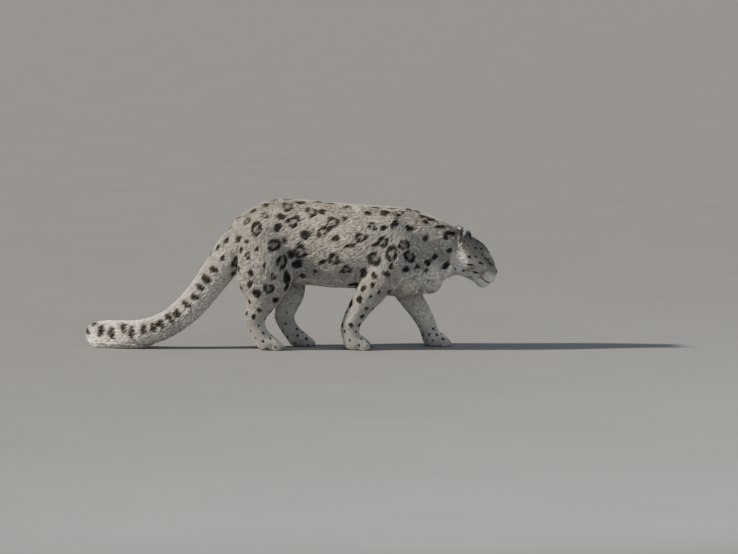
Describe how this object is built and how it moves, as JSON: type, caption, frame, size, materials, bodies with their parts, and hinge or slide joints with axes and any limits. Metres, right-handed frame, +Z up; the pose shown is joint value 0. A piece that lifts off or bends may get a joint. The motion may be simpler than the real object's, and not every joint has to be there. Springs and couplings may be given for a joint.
{
  "type": "snow leopard",
  "caption": "Life-size still model of a standing snow leopard with its head low, its coat spotted and its thick tail laid on the floor.",
  "frame": {"origin": "floor level under the middle of the animal's length and width", "axes": "+X towards the nose, +Y towards the animal's left, +Z up"},
  "size_m": [1.7366, 0.3004, 0.6287],
  "materials": {
    "coat_back": "smoky grey and cream fur with dark rosettes and spots",
    "coat_pale": "whitish fur of the face, breast, belly, inner legs and underside of the tail",
    "nose_leather": "bare, moist, finely grained skin",
    "eye": "pale grey-green iris and round dark pupil under a clear wet surface"
  },
  "bodies": {
    "root": {"head": "coat_back", "muzzle": "coat_pale", "jaw": "coat_pale", "nose": "nose_leather", "eye_left": "eye", "eye_right": "eye", "ear_left": "coat_back", "ear_right": "coat_back", "neck": "coat_back", "chest": "coat_back", "barrel": "coat_back", "rump": "coat_back", "fore_right_shoulder": "coat_back", "fore_right_forearm": "coat_back", "fore_right_paw": "coat_back", "fore_left_shoulder": "coat_back", "fore_left_forearm": "coat_back", "fore_left_paw": "coat_back", "hind_right_thigh": "coat_back", "hind_right_shank": "coat_back", "hind_right_foot": "coat_back", "hind_left_thigh": "coat_back", "hind_left_shank": "coat_back", "hind_left_foot": "coat_back", "tail_root": "coat_back", "tail_upper": "coat_back", "tail_lower": "coat_back", "tail_tip": "coat_pale"}
  },
  "joints": []
}
